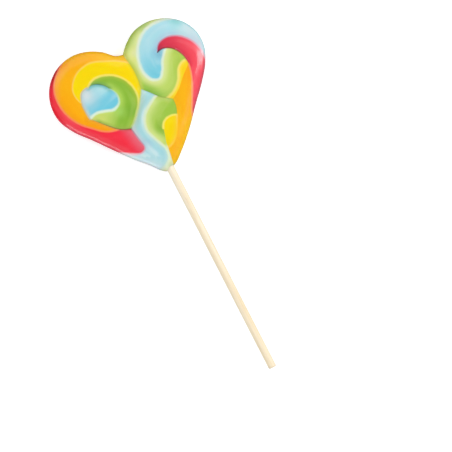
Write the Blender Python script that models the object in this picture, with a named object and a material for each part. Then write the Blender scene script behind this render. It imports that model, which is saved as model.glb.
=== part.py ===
"""A heart-shaped swirl lollipop: one pressed piece of striped boiled sugar on a wooden stick.

The sugar lies on its flat back with the shown side up, the lobes towards +Y and the stick towards -Y.
The origin is on the flat back, on the line of the stick, at the middle of the heart's height.
Plan points are (x, y) in millimetres: x to the right of the stick's axis, y up from the heart's tip.
"""

import math

import bmesh
import bpy
import numpy as np
from mathutils import Matrix, Vector
from mathutils.geometry import delaunay_2d_cdt, interpolate_bezier

MM = 0.001

# Driving dimensions, in millimetres
THICKNESS = 9.0
STICK_DIAMETER = 4.0
STICK_LENGTH = 150.0
STICK_IN_SUGAR = 40.0
STICK_GAP = 0.3
STICK_END_ROUNDING = 0.7
HOLE_OVERRUN = 6.0
TIP_TO_ORIGIN = 35.5

# The rim: its widest line runs at the height of the stick, and it rounds over above and below
RIM_HEIGHT = THICKNESS / 2
RIM_ROUNDING_TOP = 8.0
RIM_ROUNDING_BACK = 2.6

# The grooves where the turns of the sugar rope meet: soft ones that have fused, and open creases
SOFT_HALF_WIDTH = 1.3
CREASE_HALF_WIDTH = 2.0
CREASE_FLOOR = 0.22
TURN_HALF_WIDTH = 6.5
TURN_CROWN = 0.3
LAP_REACH = 5.0
LAP_EDGE = 1.0
BLEND_POWER = 5
MERGE = 0.0001

# Mesh spacing. Lines get closer points where they run over the rim.
OUTLINE_STEP = 1.5
LINE_STEP = 1.6
LINE_STEP_AT_EDGE = 0.3
EDGE_STEP_GROWTH = 0.45
FILL_STEP = 3.2
FILL_MARGIN = 0.4 * FILL_STEP
LINE_MARGIN = 0.5
ROW_CLEARANCE = 0.97
RIM_ROWS = 6
GROOVE_ROWS = (0.45, 1.1, 2.0)
STICK_SIDES = 24
ROUNDING_STEPS = 3
SHARP_ANGLE = 50

# Points that several lines share
NOTCH = (4.5, 59.7)
HEART_CENTRE = (4.75, 40.6)
LEFT_FORK = (-8.3, 25.6)
EYE_CORNER = (-24.1, 38.9)
EYE_TOP = (-18.0, 53.0)
EYE_SIDE = (-9.0, 47.8)
RED_TAIL = (-6.4, 15.4)
RIGHT_FORK = (14.2, 31.0)
MIDDLE_FORK = (16.5, 29.3)
DROP_RIGHT = (14.7, 21.6)
DROP_LEFT = (5.8, 18.6)
DROP_END = (3.6, 9.2)
HOOK_TIP = (20.1, 52.9)
HOOK_HEEL = (31.15, 41.15)

# The outline, from the notch round the left lobe, the tip and the right lobe
LEFT_SIDE = (
    NOTCH, (1.5, 60.6), (-4.0, 65.5), (-11.0, 69.2), (-18.0, 70.4), (-26.9, 68.4), (-34.5, 62.2),
    (-38.3, 53.4), (-38.1, 44.9), (-34.2, 36.9), (-28.2, 29.5), (-21.4, 20.7), (-14.9, 12.5), (-8.2, 5.1),
)
TIP = ((-4.2, 0.4), (-2.4, -0.9), (0.3, -0.5), (3.4, 0.7))
RIGHT_SIDE = (
    (8.7, 4.8), (17.5, 13.2), (25.2, 21.9), (32.5, 29.8), (38.8, 38.1), (41.7, 44.6), (41.8, 53.4),
    (38.0, 60.9), (31.0, 66.3), (22.0, 68.6), (14.0, 67.3), (8.5, 63.8), NOTCH,
)

# The lines where two turns or two stripes meet, each a smooth curve through its points
LINES = {
    "lobe seam": (NOTCH, (5.1, 55.9), (5.75, 49.0), (5.4, 44.0), HEART_CENTRE),
    "right seam": (HEART_CENTRE, (7.9, 37.1), (10.7, 33.8), RIGHT_FORK),
    "right seam end": (RIGHT_FORK, MIDDLE_FORK),
    "left seam": (HEART_CENTRE, (2.4, 36.8), (-1.8, 31.2), (-5.5, 27.5), LEFT_FORK),
    "under seam": (LEFT_FORK, (-13.8, 28.1), (-17.2, 31.3), (-21.0, 35.5), EYE_CORNER),
    "eye side": (EYE_CORNER, (-24.4, 43.1), (-23.9, 48.4), (-21.9, 52.1), EYE_TOP),
    "eye crease": (EYE_TOP, (-14.8, 53.05), (-12.1, 51.7), EYE_SIDE),
    "eye foot": (
        EYE_SIDE, (-6.9, 43.4), (-7.8, 39.6), (-11.3, 37.7), (-15.4, 38.9), (-20.1, 40.0), EYE_CORNER,
    ),
    "red tail side": (LEFT_FORK, (-7.7, 21.3), RED_TAIL),
    "red tail end": (RED_TAIL, (-6.8, 13.6), (-8.8, 12.6), (-12.0, 13.35), (-15.5, 15.4), (-20.5, 18.4)),
    "left red and orange": (
        (-21.5, 70.9), (-26.9, 67.2), (-31.6, 62.7), (-33.95, 57.5), (-34.42, 51.6), (-33.35, 45.9),
        (-30.4, 39.9), (-25.3, 34.4), (-18.9, 29.35), (-13.8, 28.1),
    ),
    "left orange and yellow": (
        (6.6, 53.6), (1.3, 57.75), (-4.8, 60.8), (-12.2, 63.3), (-20.1, 61.4), (-25.3, 55.2), (-23.6, 46.2),
    ),
    "left yellow and green": (
        EYE_TOP, (-14.2, 55.3), (-7.8, 54.6), (-2.1, 50.9), (1.6, 44.0), (1.6, 37.75), (-3.5, 30.1),
        LEFT_FORK,
    ),
    "middle blue and green": (
        (10.1, 34.5), (6.0, 32.5), (0.55, 28.25), (-1.8, 21.8), (0.1, 15.1), (2.5, 8.6), (1.8, 4.5),
        (-1.6, 1.6), (-5.6, 0.6),
    ),
    "drop top": (DROP_LEFT, (7.6, 21.4), (10.8, 22.5), DROP_RIGHT),
    "drop right": (DROP_RIGHT, (11.9, 16.0), (9.6, 12.5), (6.2, 9.9), DROP_END),
    "drop left": (DROP_END, (3.85, 11.6), (5.0, 15.4), DROP_LEFT),
    "middle green and orange": (MIDDLE_FORK, (16.4, 26.4), DROP_RIGHT),
    "tail green and orange": (DROP_END, (2.8, 4.2), (1.7, -1.6)),
    "right orange and yellow": (MIDDLE_FORK, (21.0, 32.1), (26.9, 37.75), HOOK_HEEL),
    "right yellow and green": (
        (32.4, 43.0), (29.1, 43.55), (26.45, 42.2), (22.8, 36.05), (19.2, 32.9), RIGHT_FORK,
    ),
    "right green and blue": (
        (26.2, 54.2), (20.6, 48.5), (18.2, 44.0), (15.1, 41.0), (11.6, 42.4), (9.6, 46.8), (9.75, 52.1),
        (13.0, 59.9), (19.4, 65.25), (27.9, 66.2), (37.5, 62.9),
    ),
    "hook outside": (
        HOOK_TIP, (22.6, 56.5), (27.25, 57.5), (32.25, 55.9), (36.3, 52.3), (39.0, 47.4), (39.75, 42.4),
        (39.2, 36.6),
    ),
    "hook inside": (HOOK_TIP, (23.15, 53.4), (26.7, 51.9), (29.65, 48.2), (30.95, 44.4), HOOK_HEEL),
    "right orange and red": (
        HOOK_HEEL, (30.2, 36.6), (28.35, 31.8), (25.25, 25.85), (21.9, 19.5), (20.6, 15.6),
    ),
}

# The groove depth, in millimetres, at the start, middle and end of each line where two turns meet
GROOVES = {
    "lobe seam": (0.45, 0.35, 0.25),
    "right seam": (0.3, 0.4, 0.4),
    "right seam end": (0.4, 0.3, 0.2),
    "left seam": (0.25, 0.35, 0.45),
    "under seam": (0.5, 0.45, 0.3),
    "eye side": (0.3, 0.2, 0.25),
    "eye crease": (0.25, 0.6, 0.1),
    "red tail side": (0.45, 0.3, 0.1),
    "middle green and orange": (0.2, 0.2, 0.1),
    "tail green and orange": (0.1, 0.15, 0.2),
    "hook inside": (0.5, 0.55, 0.15),
}
OPEN_CREASES = ("under seam", "eye crease", "hook inside")

# The sugar's colours as sRGB levels from 0 to 255
COLOURS = {
    "light green": (192, 217, 112),
    "green": (145, 192, 68),
    "red": (240, 52, 72),
    "orange": (253, 178, 40),
    "yellow": (251, 220, 14),
    "blue": (126, 206, 224),
    "light blue": (172, 219, 227),
}
GROUND_COLOUR = "red"
WOOD_COLOUR = (246, 228, 192)
SUGAR_ROUGHNESS = 0.12
SUGAR_COAT = 0.5
SUGAR_DEPTH = 0.1
SUGAR_DEPTH_SCALE = 0.002
WOOD_ROUGHNESS = 0.6

# The stripes in the order that they are laid over a red ground. Each is a colour and a loop of lines and
# of corner points that lie outside the outline or under a later stripe. A minus runs a line backwards.
STRIPES = (
    ("orange", "left red and orange", (-8, 32), (8, 40), (12, 62), (4, 75), (-15, 78)),
    ("yellow", "left orange and yellow", (-15, 42), LEFT_FORK, (4, 30), (12, 45)),
    ("green", "left yellow and green", "under seam", (-20, 47)),
    ("blue", "eye side", "eye crease", "eye foot"),
    ("orange", (0, -6), (30, 8), (44, 40), (33, 46), (12, 36), (0, 12)),
    (
        "light blue", "left seam", "red tail side", "red tail end", (-22, 10), (-8, -6),
        "-middle blue and green", (12, 40),
    ),
    (
        "light green", "middle blue and green", (0, -6), "-tail green and orange", (10, 16),
        "-middle green and orange", (13, 36),
    ),
    ("yellow", "drop top", "drop right", "drop left"),
    ("yellow", "right orange and yellow", "right yellow and green"),
    ("light green", "lobe seam", "right seam", "-right yellow and green", (34, 50), (42, 72), (4, 72)),
    ("light blue", "right green and blue", (46, 60), (46, 36), (36, 42), (33, 49), (29, 54.5)),
    ("red", "hook outside", (42, 34), (24, 10), "-right orange and red", "-hook inside"),
)

# The stripes, counted from 0, that lap over their neighbours along a line, and the step there
LAPS = {
    "lobe seam": (9, 0.12),
    "right seam": (9, 0.15),
    "hook inside": (11, 0.3),
    "eye crease": (2, 0.3),
}


def smooth_curve(points, step):
    """Points about a step apart on a smooth curve through the given points, to the nearest micrometre."""
    knots = [Vector(point) for point in points]
    gaps = [(b - a).length for a, b in zip(knots[:-1], knots[1:])]
    runs = [(b - a) / gap for a, b, gap in zip(knots[:-1], knots[1:], gaps)]
    slopes = [
        (runs[i] * gaps[i + 1] + runs[i + 1] * gaps[i]) / (gaps[i] + gaps[i + 1])
        for i in range(len(runs) - 1)
    ]
    first = 2 * runs[0] - slopes[0] if slopes else runs[0]
    last = 2 * runs[-1] - slopes[-1] if slopes else runs[-1]
    slopes = [first, *slopes, last]
    made = [knots[0]]
    for i, gap in enumerate(gaps):
        count = max(2, round(gap / step) + 1)
        handles = knots[i] + slopes[i] * gap / 3, knots[i + 1] - slopes[i + 1] * gap / 3
        made += interpolate_bezier(knots[i], *handles, knots[i + 1], count)[1:]
    return np.round([point[:2] for point in made], 3)


def heart_outline():
    """The closed outline, as an array of points with the notch first."""
    return smooth_curve(LEFT_SIDE + TIP + RIGHT_SIDE, OUTLINE_STEP)[:-1]


def closed_up(loop):
    """A loop with its first point repeated at its end."""
    return np.vstack((loop, loop[:1]))


def sides_of(line):
    """A unit vector to the left of a line at each of its points."""
    along = np.gradient(line, axis=0)
    along /= np.linalg.norm(along, axis=1, keepdims=True)
    return np.column_stack((-along[:, 1], along[:, 0]))


def measure(plan, line):
    """The distance from each plan point to a line, and how far along the line that is, from 0 to 1."""
    best = np.full(len(plan), np.inf)
    along = np.zeros(len(plan))
    lengths = np.hypot(*np.diff(line, axis=0).T)
    passed = np.concatenate(([0], np.cumsum(lengths)))
    for start, end, length, before in zip(line[:-1], line[1:], lengths, passed):
        run = end - start
        share = np.clip((plan - start) @ run / length**2, 0, 1)
        gap = plan - start - share[:, None] * run
        away = np.hypot(gap[:, 0], gap[:, 1])
        closer = away < best
        best[closer] = away[closer]
        along[closer] = (before + share[closer] * length) / passed[-1]
    return best, along


def distances(plan, line):
    """The distance from each plan point to a line."""
    return measure(plan, line)[0]


def inside(plan, loop):
    """True for each plan point inside a closed loop of points."""
    x, y = plan.T
    found = np.zeros(len(plan), bool)
    for (x0, y0), (x1, y1) in zip(loop, np.roll(loop, -1, axis=0)):
        if y0 != y1:
            found ^= ((y0 > y) != (y1 > y)) & (x < x0 + (x1 - x0) * (y - y0) / (y1 - y0))
    return found


def nearest(plan, lines, names):
    """The distance from each plan point to the nearest of the named lines."""
    return np.min([distances(plan, lines[name]) for name in names], axis=0)


def sampled_line(points, outline):
    """A smooth line with points closer together where it crosses the rim."""
    fine = smooth_curve(points, LINE_STEP_AT_EDGE)
    depths = distances(fine, closed_up(outline))
    steps = np.minimum(LINE_STEP_AT_EDGE + EDGE_STEP_GROWTH * depths, LINE_STEP)
    kept = [fine[0]]
    for point, step in zip(fine[1:-1], steps[1:-1]):
        if np.hypot(*(point - kept[-1])) >= step and np.hypot(*(point - fine[-1])) > step / 2:
            kept.append(point)
    return np.array([*kept, fine[-1]])


def stripe_loop(pieces, lines):
    """The closed loop of a stripe, from its line names and corner points, with no point twice in a row."""
    parts = []
    for piece in pieces:
        if isinstance(piece, tuple):
            parts.append(np.array([piece], float))
        elif piece.startswith("-"):
            parts.append(lines[piece[1:]][::-1])
        else:
            parts.append(lines[piece])
    loop = np.vstack(parts)
    return loop[np.any(loop != np.roll(loop, 1, axis=0), axis=1)]


def smooth_step(share):
    """An even rise from 0 to 1 with flat ends."""
    share = np.clip(share, 0, 1)
    return share * share * (3 - 2 * share)


def dome(depth_in, rounding):
    """How far the rim has risen from its widest line, from 0 to 1, at a depth in from the outline."""
    left = np.clip(1 - depth_in / rounding, 0, 1)
    return np.sqrt(1 - left**2)


def cusp(distance, half_width):
    """1 on a seam, falling to 0 at the half width, as between two round shoulders."""
    near = np.clip(1 - distance / half_width, 0, 1)
    return 1 - np.sqrt(1 - near**2)


def groove_shape(name, away):
    """How deep a groove is at a distance from its line, from 1 on the line to 0."""
    if name in OPEN_CREASES:
        return cusp(np.hypot(away, CREASE_FLOOR) - CREASE_FLOOR, CREASE_HALF_WIDTH)
    return np.exp(-((away / SOFT_HALF_WIDTH) ** 2))


def top_heights(plan, outline, lines, loops):
    """The height of the shown face over each plan point."""
    rise = dome(distances(plan, closed_up(outline)), RIM_ROUNDING_TOP)
    total = np.zeros(len(plan))
    for name, depths in GROOVES.items():
        away, along = measure(plan, lines[name])
        depth = np.interp(along, (0, 0.5, 1), depths)
        groove = depth * groove_shape(name, away) + TURN_CROWN * smooth_step(1 - away / TURN_HALF_WIDTH)
        total += groove**BLEND_POWER
    sunk = total ** (1 / BLEND_POWER)
    for name, (over, step) in LAPS.items():
        loop = loops[over]
        share = smooth_step(distances(plan, closed_up(loop)) / LAP_EDGE) * inside(plan, loop)
        away = distances(plan, lines[name])
        sunk += (1 - share) * step * np.clip(1 - away / LAP_REACH, 0, 1) ** 2
    return RIM_HEIGHT + rise * (THICKNESS - RIM_HEIGHT - sunk)


def back_heights(plan, outline):
    """The height of the flat back and its rounded edge over each plan point."""
    rise = dome(distances(plan, closed_up(outline)), RIM_ROUNDING_BACK)
    return RIM_HEIGHT * (1 - rise)


def rim_points(outline):
    """Points in rows along the inside of the outline, closer together where the rim is steep."""
    closed = closed_up(outline)
    inward = sides_of(closed)[:-1]
    found = []
    for row in range(1, RIM_ROWS + 1):
        depth = RIM_ROUNDING_TOP * (1 - math.cos(math.pi / 2 * row / RIM_ROWS))
        points = outline + inward * depth
        clear = inside(points, outline) & (distances(points, closed) > ROW_CLEARANCE * depth)
        found.append(points[clear])
    return np.vstack(found)


def groove_points(lines):
    """Points in rows along both sides of every groove."""
    found = []
    for name in GROOVES:
        line = lines[name]
        for offset in GROOVE_ROWS:
            for side in (-1, 1):
                points = line + side * offset * sides_of(line)
                found.append(points[nearest(points, lines, GROOVES) > ROW_CLEARANCE * offset])
    return np.vstack(found)


def fill_points(outline):
    """A grid of points in staggered rows over the heart's box."""
    low, high = outline.min(axis=0), outline.max(axis=0)
    found = []
    for row, y in enumerate(np.arange(low[1], high[1], FILL_STEP * math.sqrt(0.75))):
        start = low[0] + (row % 2) * FILL_STEP / 2
        found += [(x, y) for x in np.arange(start, high[0], FILL_STEP)]
    return np.array(found)


def spread_out(points, gap):
    """The points less those that come within a gap of one before them."""
    kept = points[:1]
    for point in points[1:]:
        if np.min(np.hypot(*(kept - point).T)) > gap:
            kept = np.vstack((kept, point))
    return kept


def free_points(outline, lines):
    """The plan's loose points, none of them crowding a line or another row."""
    closed = closed_up(outline)
    plain = [name for name in lines if name not in GROOVES]
    grooves = groove_points(lines)
    grooves = grooves[inside(grooves, outline) & (distances(grooves, closed) > GROOVE_ROWS[0])]
    rim = rim_points(outline)
    rim = rim[nearest(rim, lines, GROOVES) > GROOVE_ROWS[-1] + LINE_MARGIN]
    fill = fill_points(outline)
    fill = fill[inside(fill, outline) & (distances(fill, closed) > RIM_ROUNDING_TOP + FILL_MARGIN)]
    fill = fill[nearest(fill, lines, GROOVES) > GROOVE_ROWS[-1] + FILL_MARGIN]
    free = np.vstack((grooves, rim, fill))
    return spread_out(free[nearest(free, lines, plain) > LINE_MARGIN], LINE_MARGIN)


def triangulate(points, chains):
    """Plan points and triangles inside the first chain, a closed one, with every chain kept as edges."""
    corners = [Vector(point) for chain in chains for point in chain] + [Vector(point) for point in points]
    edges = []
    start = 0
    for chain in chains:
        edges += [(start + i, start + i + 1) for i in range(len(chain) - 1)]
        start += len(chain)
    plan, _, faces, *_ = delaunay_2d_cdt(corners, edges, [], 0, MERGE)
    plan = np.array([point[:] for point in plan])
    kept = inside(np.array([plan[face].mean(axis=0) for face in faces]), chains[0])
    faces = [face for face, keep in zip(faces, kept) if keep]
    used = sorted({corner for face in faces for corner in face})
    number = {corner: i for i, corner in enumerate(used)}
    return plan[used], [[number[corner] for corner in face] for face in faces]


def rim_loop(faces):
    """The points round the edge of a triangulated plan, in order."""
    edges = {(face[i - 1], face[i]) for face in faces for i in range(3)}
    following = {start: end for start, end in edges if (end, start) not in edges}
    loop = [min(following)]
    while following[loop[-1]] != loop[0]:
        loop.append(following[loop[-1]])
    return loop


def material(name, colour, roughness):
    """A Principled material from sRGB levels."""
    made = bpy.data.materials.new(name)
    made.use_nodes = True
    shader = made.node_tree.nodes["Principled BSDF"]
    shares = [level / 255 for level in colour]
    linear = [share / 12.92 if share < 0.04 else ((share + 0.055) / 1.055) ** 2.4 for share in shares]
    shader.inputs["Base Color"].default_value = (*linear, 1)
    shader.inputs["Roughness"].default_value = roughness
    shader.inputs["Metallic"].default_value = 0
    made.diffuse_color = (*linear, 1)
    return made


def sugar_material(colour):
    """Glossy boiled sugar of one named colour."""
    made = material(f"sugar {colour}", COLOURS[colour], SUGAR_ROUGHNESS)
    shader = made.node_tree.nodes["Principled BSDF"]
    shader.inputs["Coat Weight"].default_value = SUGAR_COAT
    shader.inputs["Subsurface Weight"].default_value = SUGAR_DEPTH
    shader.inputs["Subsurface Scale"].default_value = SUGAR_DEPTH_SCALE
    return made


def place(plan, heights):
    """World points in metres from plan points and heights in millimetres."""
    return [(x * MM, (y - TIP_TO_ORIGIN) * MM, z * MM) for (x, y), z in zip(plan, heights)]


def stripe_numbers(plan, faces, loops):
    """The material number of each face, from the last stripe laid over its middle."""
    names = list(COLOURS)
    middles = np.array([plan[face].mean(axis=0) for face in faces])
    numbers = np.full(len(faces), names.index(GROUND_COLOUR))
    for (colour, *_), loop in zip(STRIPES, loops):
        numbers[inside(middles, loop)] = names.index(colour)
    return numbers


def sugar_mesh():
    """The heart's closed mesh: a shown face and a back that share the outline and the stripes."""
    outline = heart_outline()
    lines = {name: sampled_line(points, outline) for name, points in LINES.items()}
    loops = [stripe_loop(pieces, lines) for _, *pieces in STRIPES]
    plan, faces = triangulate(free_points(outline, lines), [closed_up(outline), *lines.values()])
    edge = rim_loop(faces)
    inner = sorted(set(range(len(plan))) - set(edge))
    heights = top_heights(plan, outline, lines, loops)
    heights[edge] = RIM_HEIGHT
    below = list(range(len(plan)))
    for place_below, corner in enumerate(inner, len(plan)):
        below[corner] = place_below
    backs = [[below[corner] for corner in reversed(face)] for face in faces]
    points = place(plan, heights) + place(plan[inner], back_heights(plan[inner], outline))

    mesh = bpy.data.meshes.new("candy")
    mesh.from_pydata(points, [], faces + backs)
    for name in COLOURS:
        mesh.materials.append(sugar_material(name))
    numbers = stripe_numbers(plan, faces, loops)
    mesh.polygons.foreach_set("material_index", np.concatenate((numbers, numbers)))
    mesh.shade_smooth()
    mesh.set_sharp_from_angle(angle=math.radians(SHARP_ANGLE))
    return mesh


def rod(name, diameter, length, rounding):
    """A round rod along Y about its own origin, its ends rounded over."""
    mesh = bpy.data.meshes.new(name)
    shape = bmesh.new()
    size = {"segments": STICK_SIDES, "radius1": diameter / 2, "radius2": diameter / 2, "depth": length}
    half_side = Matrix.Rotation(math.pi / STICK_SIDES, 4, "Z")
    bmesh.ops.create_cone(shape, cap_ends=True, matrix=half_side, **size)
    if rounding:
        ends = [edge for edge in shape.edges if abs(edge.verts[0].co.z - edge.verts[1].co.z) < length / 2]
        round_over = {"offset": rounding, "segments": ROUNDING_STEPS, "profile": 0.5, "affect": "EDGES"}
        bmesh.ops.bevel(shape, geom=ends, **round_over)
    shape.to_mesh(mesh)
    shape.free()
    mesh.shade_smooth()
    mesh.set_sharp_from_angle(angle=math.radians(SHARP_ANGLE))
    made = bpy.data.objects.new(name, mesh)
    made.rotation_euler = (math.radians(90), 0, 0)
    bpy.context.scene.collection.objects.link(made)
    return made


def make_stick():
    """The wooden stick, a plain dowel whose inner end is in the sugar."""
    made = rod("stick", STICK_DIAMETER * MM, STICK_LENGTH * MM, STICK_END_ROUNDING * MM)
    middle = STICK_IN_SUGAR - STICK_LENGTH / 2 - TIP_TO_ORIGIN
    made.location = (0, middle * MM, RIM_HEIGHT * MM)
    made.data.materials.append(material("pale wood", WOOD_COLOUR, WOOD_ROUGHNESS))


def make_candy():
    """The heart of boiled sugar, with the blind hole that holds the stick."""
    made = bpy.data.objects.new("candy", sugar_mesh())
    bpy.context.scene.collection.objects.link(made)
    hole_end = STICK_IN_SUGAR + STICK_GAP
    hole_length = hole_end + HOLE_OVERRUN
    cutter = rod("stick_hole", (STICK_DIAMETER + 2 * STICK_GAP) * MM, hole_length * MM, 0)
    cutter.location = (0, (hole_end - hole_length / 2 - TIP_TO_ORIGIN) * MM, RIM_HEIGHT * MM)
    cutter.hide_render = True
    cutter.display_type = "WIRE"
    cut = made.modifiers.new("stick hole", "BOOLEAN")
    cut.operation = "DIFFERENCE"
    cut.object = cutter


def main():
    for old in list(bpy.data.objects):
        bpy.data.objects.remove(old)
    make_candy()
    make_stick()


main()
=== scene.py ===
"""The looks of a heart-shaped swirl lollipop: pressed, striped boiled sugar on a wooden stick.

Plan points are (x, y) in millimetres: x to the right of the stick's axis, y up from the heart's tip.
Heights are in millimetres over the flat back.
"""

import math
import random

import bmesh
import bpy
import numpy as np
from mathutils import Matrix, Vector
from mathutils.geometry import delaunay_2d_cdt, interpolate_bezier


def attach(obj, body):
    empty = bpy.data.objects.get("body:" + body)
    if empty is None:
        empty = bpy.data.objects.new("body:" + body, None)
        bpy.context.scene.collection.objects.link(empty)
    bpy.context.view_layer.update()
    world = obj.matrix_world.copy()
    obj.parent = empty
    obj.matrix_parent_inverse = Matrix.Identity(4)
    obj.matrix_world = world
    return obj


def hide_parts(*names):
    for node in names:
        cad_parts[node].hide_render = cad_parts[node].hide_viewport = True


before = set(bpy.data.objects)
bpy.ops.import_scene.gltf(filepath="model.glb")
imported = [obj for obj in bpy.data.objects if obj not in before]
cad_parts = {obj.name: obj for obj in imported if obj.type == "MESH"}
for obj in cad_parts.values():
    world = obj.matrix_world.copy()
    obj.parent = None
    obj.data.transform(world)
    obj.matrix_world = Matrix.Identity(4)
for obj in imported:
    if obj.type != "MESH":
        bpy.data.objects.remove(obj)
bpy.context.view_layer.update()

MM = 0.001

# Driving dimensions, in millimetres, the same as the solids'
THICKNESS = 9.0
STICK_DIAMETER = 4.0
STICK_LENGTH = 150.0
STICK_IN_SUGAR = 40.0
STICK_END_ROUNDING = 0.7
TIP_TO_ORIGIN = 35.5
RIM_HEIGHT = THICKNESS / 2
RIM_ROUNDING_TOP = 8.0
RIM_ROUNDING_BACK = 2.6

# The grooves where the turns of the sugar rope meet: soft ones that have fused, and open creases
SOFT_HALF_WIDTH = 1.3
CREASE_HALF_WIDTH = 2.0
CREASE_FLOOR = 0.22
TURN_HALF_WIDTH = 6.5
TURN_CROWN = 0.3
LAP_REACH = 5.0
LAP_EDGE = 1.0
BLEND_POWER = 5

# The sugar closes on the stick with this much play, and the hole runs past the tip
STICK_PLAY = 0.03
HOLE_OVERRUN = 6.0
HOLE_SIDES = 72

# The stick is planed to size, so waves run round it: how many rises each has, and the range of their
# pitches along the stick in millimetres
STICK_PLANE_DEPTH = 0.025
STICK_WAVE_RISES = (2, 3, 5, 9)
STICK_WAVE_PITCH = (9, 30)
STICK_SEED = 7

# Mesh spacing. Lines get closer points where they run over the rim.
OUTLINE_STEP = 0.55
LINE_STEP = 0.55
LINE_STEP_AT_EDGE = 0.25
EDGE_STEP_GROWTH = 0.1
FILL_STEP = 0.8
FREE_MARGIN = 0.22
ROW_CLEARANCE = 0.97
RIM_ROWS = 12
GROOVE_ROWS = (0.12, 0.3, 0.55, 0.9, 1.35, 1.9)
GROOVE_MARGIN = 0.8 * GROOVE_ROWS[0]
LINE_ROWS = (0.45,)
MERGE = 0.0001
SUGAR_SHARP_ANGLE = 60
STICK_SIDES = 64
STICK_RING_STEP = 1.0
STICK_END_ROWS = 6
STICK_END_RINGS = (0.66, 0.33)
STICK_SHARP_ANGLE = 50

# Points that several lines share
NOTCH = (4.5, 59.7)
HEART_CENTRE = (4.75, 40.6)
LEFT_FORK = (-8.3, 25.6)
EYE_CORNER = (-24.1, 38.9)
EYE_TOP = (-18.0, 53.0)
EYE_SIDE = (-9.0, 47.8)
RED_TAIL = (-6.4, 15.4)
RIGHT_FORK = (14.2, 31.0)
MIDDLE_FORK = (16.5, 29.3)
DROP_RIGHT = (14.7, 21.6)
DROP_LEFT = (5.8, 18.6)
DROP_END = (3.6, 9.2)
HOOK_TIP = (20.1, 52.9)
HOOK_HEEL = (31.15, 41.15)

# The outline, from the notch round the left lobe, the tip and the right lobe
LEFT_SIDE = (
    NOTCH, (1.5, 60.6), (-4.0, 65.5), (-11.0, 69.2), (-18.0, 70.4), (-26.9, 68.4), (-34.5, 62.2),
    (-38.3, 53.4), (-38.1, 44.9), (-34.2, 36.9), (-28.2, 29.5), (-21.4, 20.7), (-14.9, 12.5), (-8.2, 5.1),
)
TIP = ((-4.2, 0.4), (-2.4, -0.9), (0.3, -0.5), (3.4, 0.7))
RIGHT_SIDE = (
    (8.7, 4.8), (17.5, 13.2), (25.2, 21.9), (32.5, 29.8), (38.8, 38.1), (41.7, 44.6), (41.8, 53.4),
    (38.0, 60.9), (31.0, 66.3), (22.0, 68.6), (14.0, 67.3), (8.5, 63.8), NOTCH,
)

# The lines where two turns or two stripes meet, each a smooth curve through its points
LINES = {
    "lobe seam": (NOTCH, (5.1, 55.9), (5.75, 49.0), (5.4, 44.0), HEART_CENTRE),
    "right seam": (HEART_CENTRE, (7.9, 37.1), (10.7, 33.8), RIGHT_FORK),
    "right seam end": (RIGHT_FORK, MIDDLE_FORK),
    "left seam": (HEART_CENTRE, (2.4, 36.8), (-1.8, 31.2), (-5.5, 27.5), LEFT_FORK),
    "under seam": (LEFT_FORK, (-13.8, 28.1), (-17.2, 31.3), (-21.0, 35.5), EYE_CORNER),
    "eye side": (EYE_CORNER, (-24.4, 43.1), (-23.9, 48.4), (-21.9, 52.1), EYE_TOP),
    "eye crease": (EYE_TOP, (-14.8, 53.05), (-12.1, 51.7), EYE_SIDE),
    "eye foot": (
        EYE_SIDE, (-6.9, 43.4), (-7.8, 39.6), (-11.3, 37.7), (-15.4, 38.9), (-20.1, 40.0), EYE_CORNER,
    ),
    "red tail side": (LEFT_FORK, (-7.7, 21.3), RED_TAIL),
    "red tail end": (RED_TAIL, (-6.8, 13.6), (-8.8, 12.6), (-12.0, 13.35), (-15.5, 15.4), (-20.5, 18.4)),
    "left red and orange": (
        (-21.5, 70.9), (-26.9, 67.2), (-31.6, 62.7), (-33.95, 57.5), (-34.42, 51.6), (-33.35, 45.9),
        (-30.4, 39.9), (-25.3, 34.4), (-18.9, 29.35), (-13.8, 28.1),
    ),
    "left orange and yellow": (
        (6.6, 53.6), (1.3, 57.75), (-4.8, 60.8), (-12.2, 63.3), (-20.1, 61.4), (-25.3, 55.2), (-23.6, 46.2),
    ),
    "left yellow and green": (
        EYE_TOP, (-14.2, 55.3), (-7.8, 54.6), (-2.1, 50.9), (1.6, 44.0), (1.6, 37.75), (-3.5, 30.1),
        LEFT_FORK,
    ),
    "middle blue and green": (
        (10.1, 34.5), (6.0, 32.5), (0.55, 28.25), (-1.8, 21.8), (0.1, 15.1), (2.5, 8.6), (1.8, 4.5),
        (-1.6, 1.6), (-5.6, 0.6),
    ),
    "drop top": (DROP_LEFT, (7.6, 21.4), (10.8, 22.5), DROP_RIGHT),
    "drop right": (DROP_RIGHT, (11.9, 16.0), (9.6, 12.5), (6.2, 9.9), DROP_END),
    "drop left": (DROP_END, (3.85, 11.6), (5.0, 15.4), DROP_LEFT),
    "middle green and orange": (MIDDLE_FORK, (16.4, 26.4), DROP_RIGHT),
    "tail green and orange": (DROP_END, (2.8, 4.2), (1.7, -1.6)),
    "right orange and yellow": (MIDDLE_FORK, (21.0, 32.1), (26.9, 37.75), HOOK_HEEL),
    "right yellow and green": (
        (32.4, 43.0), (29.1, 43.55), (26.45, 42.2), (22.8, 36.05), (19.2, 32.9), RIGHT_FORK,
    ),
    "right green and blue": (
        (26.2, 54.2), (20.6, 48.5), (18.2, 44.0), (15.1, 41.0), (11.6, 42.4), (9.6, 46.8), (9.75, 52.1),
        (13.0, 59.9), (19.4, 65.25), (27.9, 66.2), (37.5, 62.9),
    ),
    "hook outside": (
        HOOK_TIP, (22.6, 56.5), (27.25, 57.5), (32.25, 55.9), (36.3, 52.3), (39.0, 47.4), (39.75, 42.4),
        (39.2, 36.6),
    ),
    "hook inside": (HOOK_TIP, (23.15, 53.4), (26.7, 51.9), (29.65, 48.2), (30.95, 44.4), HOOK_HEEL),
    "right orange and red": (
        HOOK_HEEL, (30.2, 36.6), (28.35, 31.8), (25.25, 25.85), (21.9, 19.5), (20.6, 15.6),
    ),
}

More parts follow.
